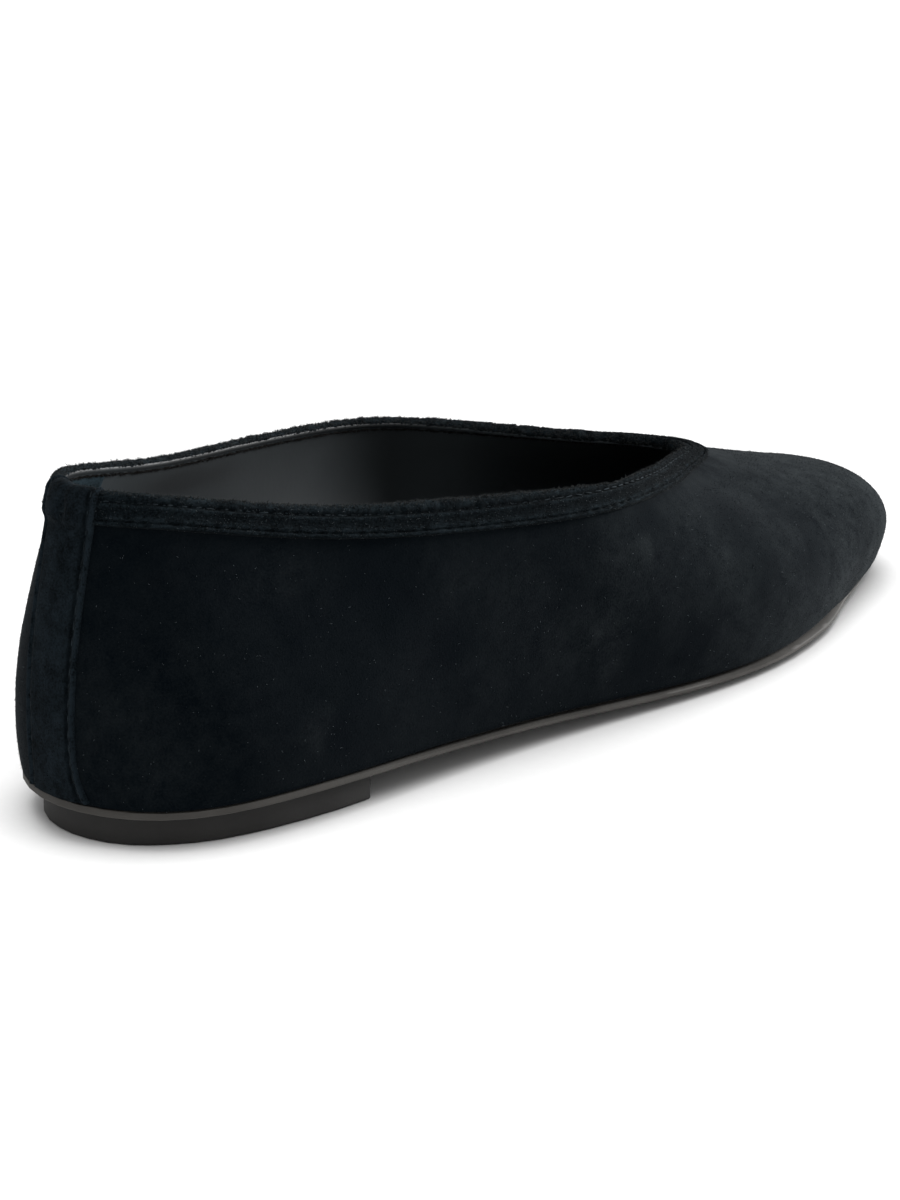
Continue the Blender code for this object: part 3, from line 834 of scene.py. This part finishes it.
def backstay_strip():
    """The suede strip down the heel back, over the topline and a little way down inside."""
    places = np.concatenate([np.linspace(1.3 - BACK_DEPTH, -9, 70),
                             np.linspace(-8.7, 6, 64),
                             np.linspace(6.4, BACKSTAY_IN, 16)])
    across = np.concatenate([np.linspace(-1, -0.9, 5),
                             np.linspace(-0.88, 0.88, 45),
                             np.linspace(0.9, 1, 5)])
    across = across * BACKSTAY_WIDTH / 2
    points, out = back_patch(places, across * backstay_flare(places))
    down = places[:, None]
    from_edge = BACKSTAY_WIDTH / 2 - np.abs(across)
    height = BACKSTAY_PUFF * rounded_edge(from_edge, 0.7) + 0.16 * ridge(from_edge, 0.45, 0.4)
    height = height - 0.45 * ridge(from_edge, BACKSTAY_ROW, 0.42) * (down < 1)
    over = ridge(down, -3.2, 2.4)
    height = height - over * (0.85 * ridge(across, 0, 0.8) - 0.35 * ridge(np.abs(across), 2.9, 1.6))
    height = (height + 0.05 * swell(points, 6.0, 17)) * rounded_edge(BACKSTAY_IN - down + 0.05, 0.5)
    outside = points + (backstay_lift(down) + STRIP_GAP + height)[..., None] * out
    inside = points + (0.6 * backstay_lift(down) - 0.2)[..., None] * out
    # Painted highlight along the raised rolled edges, and painted shade in the groove just inside each row
    # of stitches
    backstay_edge_light_and_shade = 0.6 * ridge(from_edge, 0.65, 0.5) - 0.35 * ridge(from_edge, BACKSTAY_ROW + 0.3, 0.35)
    tone = 0.5 + backstay_edge_light_and_shade * (1 + 0.5 * swell(points, 3.0, 18))
    piece = laid_grid("backstay_strip", ring(outside, inside), ring(tone, tone), capped=True)
    finish_mesh(piece, 50)
    dress(piece, "backstay", "backstay_suede",
          suede("navy suede backstay", "#030608", "#161d22", 8.0, 3.0, 0.025, (0.61, 0.22, 0.37)))
    return outside, out


def heel_grip():
    """The suede patch inside the heel that holds the foot."""
    places = np.linspace(LINING_ROW + 0.4, GRIP_DOWN, 40)
    across = np.linspace(-GRIP_REACH, GRIP_REACH, 81)
    points, out = back_patch(places, across)
    down = places[:, None]
    from_edge = np.minimum(np.minimum(down - places[0], GRIP_DOWN - down), GRIP_REACH - np.abs(across))
    lift = inside_lift(down) + GRIP_PUFF * rounded_edge(from_edge, 0.5) + 0.05 * swell(points, 7.0, 25)
    outside = points + lift[..., None] * out
    tone = np.full(points.shape[:2], 0.5)
    piece = laid_grid("heel_grip", ring(outside, outside - GRIP_THICK * out), ring(tone, tone), capped=True)
    finish_mesh(piece, 50)
    dress(piece, "upper", "insole_leather",
          suede("teal suede grip", "#10181b", "#26333a", 8.0, 2.4, 0.025, (0.2, 0.7, 0.4)))


def node_copy(name, node):
    """A copy of a CAD node's mesh, as one welded body of quads."""
    piece = bpy.data.objects.new(name, frame["nodes"][node].data.copy())
    piece.data.name = name
    piece.data.materials.clear()
    bpy.context.scene.collection.objects.link(piece)
    weld(piece)
    open_mesh(piece, "SELECT")
    bpy.ops.mesh.tris_convert_to_quads()
    bpy.ops.object.mode_set(mode="OBJECT")
    return piece


def crease_edges(piece, angle, amount):
    """Keeps the edges sharper than angle degrees firm when the piece is subdivided."""
    open_mesh(piece, "DESELECT")
    bpy.ops.mesh.edges_select_sharp(sharpness=math.radians(angle))
    bpy.ops.transform.edge_crease(value=amount)
    bpy.ops.object.mode_set(mode="OBJECT")


def shape_rim(piece):
    """Draws the edge of the sole in under the toe, and raises its rim round the suede at the heel."""
    corners = np.zeros(3 * len(piece.data.vertices))
    piece.data.vertices.foreach_get("co", corners)
    corners = corners.reshape(-1, 3) / MM - SHIFT
    line = LOOP.value(np.linspace(0, ROUND, 1001))[:, FOOT]
    apart = np.linalg.norm(corners[:, None, :2] - line[None, :, :2], axis=2)
    nearest = line[np.argmin(apart, axis=1)]
    on_rim = (apart.min(axis=1) < RIM_WIDTH) & (corners[:, 2] > nearest[:, 2] - RIM_DEPTH)
    corners[:, 2] += RIM_RISE * on_rim * np.clip((RIM_END - corners[:, 0]) / RIM_FADE, 0, 1)
    away = corners[:, :2] - np.array([TUCK_START, 0.0])
    apart = np.linalg.norm(away, axis=1)[:, None]
    share = np.clip((corners[:, :1] - TUCK_START) / TUCK_FADE, 0, 1) * np.minimum(apart / TUCK_HUB, 1)
    corners[:, :2] -= TOE_WRAP * share * away / np.maximum(apart, 1)
    piece.data.vertices.foreach_set("co", ((corners + SHIFT) * MM).ravel())
    piece.data.update()


def sole_pieces():
    """The thin outsole, the heel block and the insole, from their solids with softened edges."""
    outsole = node_copy("outsole_board", "outsole")
    crease_edges(outsole, 30, 0.9)
    apply_modifier(outsole, "SUBSURF", levels=2, render_levels=2)
    shape_rim(outsole)
    finish_mesh(outsole, 40)
    dress(outsole, "outsole", "sole_rubber",
          sole_compound("grey sole compound", "#2e2c29", "#383633", 0.75))
    heel = node_copy("heel_block", "heel")
    apply_modifier(heel, "BEVEL", width=0.35 * MM, segments=3, limit_method="ANGLE",
                   angle_limit=math.radians(35))
    finish_mesh(heel, 40)
    dress(heel, "heel", "heel_rubber", sole_compound("heel rubber", "#141312", "#1b1a19", 0.75))
    insole = node_copy("insole_sock", "insole")
    crease_edges(insole, 30, 0.8)
    apply_modifier(insole, "SUBSURF", levels=2, render_levels=2)
    finish_mesh(insole, 40)
    dress(insole, "insole", "insole_leather", leather("insole leather", "#121415", "#1a1c1d", 0.55, 1.0))


def primitive_shape(add, **settings):
    """Points and faces of a primitive, which is then removed."""
    bpy.ops.object.select_all(action="DESELECT")
    add(**settings)
    made = bpy.context.object
    points = np.array([vert.co[:] for vert in made.data.vertices])
    faces = [list(polygon.vertices) for polygon in made.data.polygons]
    mesh = made.data
    bpy.data.objects.remove(made)
    bpy.data.meshes.remove(mesh)
    return points, faces


def joined_copies(name, shape, spots, axes):
    """One mesh of many copies of a shape, each at its spot with its own three axes as columns, mm."""
    points, faces = shape
    placed = spots[:, None, :] + np.einsum("nij,kj->nki", axes, points)
    numbers = []
    for first in range(0, len(spots) * len(points), len(points)):
        numbers.extend([first + corner for corner in corners] for corners in faces)
    mesh = bpy.data.meshes.new(name)
    mesh.from_pydata((placed.reshape(-1, 3) + SHIFT) * MM, [], numbers)
    mesh.shade_smooth()
    piece = bpy.data.objects.new(name, mesh)
    bpy.context.scene.collection.objects.link(piece)
    return piece


def stitch_axes(along, out, seed):
    """Axes of stitches that lie along a seam, each a little askew, with their length on the third axis."""
    draw = np.random.default_rng(seed)
    askew = draw.normal(0, 0.09, (len(along), 1))
    side = np.cross(out, along)
    way = unit(along + askew * side)
    side = unit(np.cross(out, way))
    length = STITCH_LENGTH / 2 * draw.uniform(0.92, 1.06, (len(along), 1))
    return np.stack([side * THREAD / 2, out * THREAD / 2, way * length], axis=2)


def round_row(place, lift, seed):
    """Spots and axes of a row of stitches round the topline, lift mm over the wall."""
    count = row_count(place)
    u, _ = even_round(2 * count, place)
    u = u[1::2]
    points, out, around = skin(u, np.array([[place]]))
    return points[:, 0] + lift * out[:, 0], stitch_axes(around[:, 0], out[:, 0], seed)


def backstay_row(side, lift, seed):
    """Spots and axes of a row of stitches down one edge of the backstay, lift mm over what it lies on."""
    places = np.arange(3 - BACK_DEPTH, -0.5, STITCH_PITCH)
    points, out = back_patch(places, side * (BACKSTAY_WIDTH / 2 - BACKSTAY_ROW) * backstay_flare(places))
    spots = points[:, 0] + (lift + backstay_lift(places))[:, None] * out[:, 0]
    return spots, stitch_axes(unit(np.gradient(spots, axis=0)), out[:, 0], seed)


def stitches():
    """Rows of thread: two round the binding, one on the lining, one down each edge of the backstay."""
    thread = primitive_shape(bpy.ops.mesh.primitive_uv_sphere_add, segments=6, ring_count=6, radius=1)
    dark = thread_finish("navy thread", "#0d1215", "#262e33")
    rows = [round_row(row, 0.56, 30 + number) for number, row in enumerate(BINDING_ROWS)]
    spots, axes = (np.concatenate(parts) for parts in zip(*rows))
    dress(joined_copies("binding_stitches", thread, spots, axes), "topline_binding", "binding_suede", dark)
    spots, axes = round_row(LINING_ROW, 0.12, 40)
    dress(joined_copies("lining_stitches", thread, spots, axes), "upper", "insole_leather", dark)
    rows = [backstay_row(side, 0.34, 50 + side) for side in (-1, 1)]
    spots, axes = (np.concatenate(parts) for parts in zip(*rows))
    dress(joined_copies("backstay_stitches", thread, spots, axes), "backstay", "backstay_suede", dark)


def scatter(points, out, tone, count, draw):
    """Random spots over a grid of points, as many on equal areas.

    They come with the directions out and along, and the tone.
    """
    corner = points[:-1, :-1]
    along = points[1:, :-1] - corner
    across = points[:-1, 1:] - corner
    area = np.linalg.norm(np.cross(along, across), axis=2).ravel()
    cell = draw.choice(area.size, count, p=area / area.sum())
    i, j = np.unravel_index(cell, corner.shape[:2])
    share = draw.random((2, count, 1))
    spots = corner[i, j] + share[0] * along[i, j] + share[1] * across[i, j]
    return spots, out[i, j], unit(along[i, j]), np.zeros(count) if tone is None else tone[i, j]


def nap(name, grid, count, longest, thick, part, finish, seed, tone=None):
    """Short fibres that stand off a laid grid, so that its edges are soft, with its tone at their feet.

    longest and thick are in mm, and part is the CAD node and the slot.
    """
    draw = np.random.default_rng(seed)
    spots, normal, along, shade = scatter(*grid, tone, count, draw)
    tilt = draw.uniform(*FIBRE_TILT, (count, 1))
    turn = draw.uniform(0, 2 * math.pi, (count, 1))
    side = np.cross(normal, along)
    lay = np.cos(turn) * along + np.sin(turn) * side
    way = np.cos(tilt) * normal + np.sin(tilt) * lay
    first = unit(np.cross(way, normal + 0.01 * along))
    second = np.cross(way, first)
    length = longest * draw.uniform(0.35, 1.0, (count, 1)) ** 1.5
    thick = thick / 2 * draw.uniform(0.7, 1.3, (count, 1))
    axes = np.stack([first * thick, second * thick, way * length], axis=2)
    fibre = primitive_shape(bpy.ops.mesh.primitive_cone_add, vertices=3, radius1=1, radius2=0, depth=1,
                            location=(0, 0, 0))
    fibre[0][:, 2] += 0.5
    piece = joined_copies(name, fibre, spots - FIBRE_ROOT * normal, axes)
    add_tone(piece.data, np.repeat(shade, len(fibre[0])))
    dress(piece, *part, finish)


def fibres(upper, upper_tone, upper_finish, lining_edge, binding, backstay):
    """The fibres of the suede and of the lining's edge, and lint."""
    dark = fibre_finish("suede fibres", "#080c0f", "#171d21")
    # Painted light: a paler copy of the fibres for the binding's crest, which catches the lamps
    lit = fibre_finish("lit suede fibres", "#151719", "#343636")
    specks = fibre_finish("pale suede specks", "#1c2022", "#4a5053")
    frayed = fibre_finish("frayed lining edge", "#0c0b0a", "#221f1d")
    pale = fibre_finish("pale lint", "#23282b", "#60676b")
    crest = [part[:, BINDING_CREST] for part in binding]
    on_upper = ("upper", "suede")
    on_binding = ("topline_binding", "binding_suede")
    nap("upper_nap", upper, 40000, 0.6, 0.08, on_upper, upper_finish, 71, upper_tone)
    nap("binding_nap", binding, 14000, 0.7, 0.10, on_binding, dark, 72)
    nap("crest_nap", crest, 14000, 0.8, 0.13, on_binding, lit, 74)
    nap("binding_specks", binding, 4500, 0.4, 0.17, on_binding, specks, 77)
    nap("backstay_nap", backstay, 4000, 0.7, 0.10, ("backstay", "backstay_suede"), dark, 73)
    nap("lining_fuzz", lining_edge, 9000, 0.7, 0.15, ("upper", "insole_leather"), frayed, 76)
    nap("lint", upper, 1800, 0.6, 0.11, on_upper, pale, 75)


def place_camera():
    """The photograph's viewpoint."""
    data = bpy.data.cameras.new("camera")
    data.sensor_width = SENSOR
    data.lens = FOCAL_PIXELS / PICTURE_HEIGHT * SENSOR
    data.clip_end = 50
    camera = bpy.data.objects.new("camera", data)
    bpy.context.scene.collection.objects.link(camera)
    turn = Matrix.Rotation(math.radians(AZIMUTH), 3, "Z")
    turn = turn @ Matrix.Rotation(math.radians(90 - ELEVATION), 3, "X")
    turn = turn @ Matrix.Rotation(math.radians(ROLL), 3, "Z")
    eye = (Vector(AIM) + Vector(SHIFT) + DISTANCE * turn.col[2]) * MM
    camera.matrix_world = Matrix.LocRotScale(eye, turn, None)
    bpy.context.scene.camera = camera


def soft_light(name, place, aim, size, power):
    """A square soft box that faces a point, metres and watts."""
    data = bpy.data.lights.new(name, "AREA")
    data.size = size
    data.energy = power
    lamp = bpy.data.objects.new(name, data)
    lamp.location = place
    lamp.rotation_euler = (Vector(aim) - Vector(place)).to_track_quat("-Z", "Y").to_euler()
    bpy.context.scene.collection.objects.link(lamp)
    return lamp


def studio():
    """White floor and even white surroundings, a large soft box overhead and one at the toe's side.

    The side lamp leaves the floor alone and a broad lamp lights only the floor, which stays white with a
    soft shadow.
    """
    bpy.ops.object.select_all(action="DESELECT")
    bpy.ops.mesh.primitive_plane_add(size=FLOOR_SIZE)
    floor = bpy.context.object
    floor.name = "white_sweep"
    floor.data.materials.append(floor_finish("white card", "#cdcdcd", "#d1d1d1"))
    world = bpy.data.worlds.new("studio")
    world.use_nodes = True
    world.node_tree.nodes["Background"].inputs["Color"].default_value = linear("#ffffff")
    world.node_tree.nodes["Background"].inputs["Strength"].default_value = SURROUND
    bpy.context.scene.world = world
    soft_light("overhead", (0.15, 0.35, 1.6), (0.0, 0.0, 0.0), 1.4, 14.0)
    side_lamp = soft_light("toe side", (1.5, -0.5, 0.6), (0.0, 0.0, 0.04), 0.55, 46.0)
    floor_lamp = soft_light("floor fill", (-0.2, -0.4, 1.8), (0.0, 0.0, 0.0), 2.0, 49.0)
    for lamp, state in ((side_lamp, "EXCLUDE"), (floor_lamp, "INCLUDE")):
        receivers = bpy.data.collections.new(lamp.name + " falls on")
        receivers.objects.link(floor)
        receivers.collection_objects[0].light_linking.link_state = state
        lamp.light_linking.receiver_collection = receivers
    bpy.context.scene.view_settings.view_transform = "Standard"


def main():
    for leftover in list(bpy.context.scene.objects):
        if leftover.type in ("LIGHT", "CAMERA"):
            bpy.data.objects.remove(leftover)
    place_camera()
    studio()
    upper, upper_tone, upper_finish = suede_upper()
    lining_edge = leather_lining()
    binding = binding_strip()
    backstay = backstay_strip()
    heel_grip()
    sole_pieces()
    stitches()
    fibres(upper, upper_tone, upper_finish, lining_edge, binding, backstay)


main()
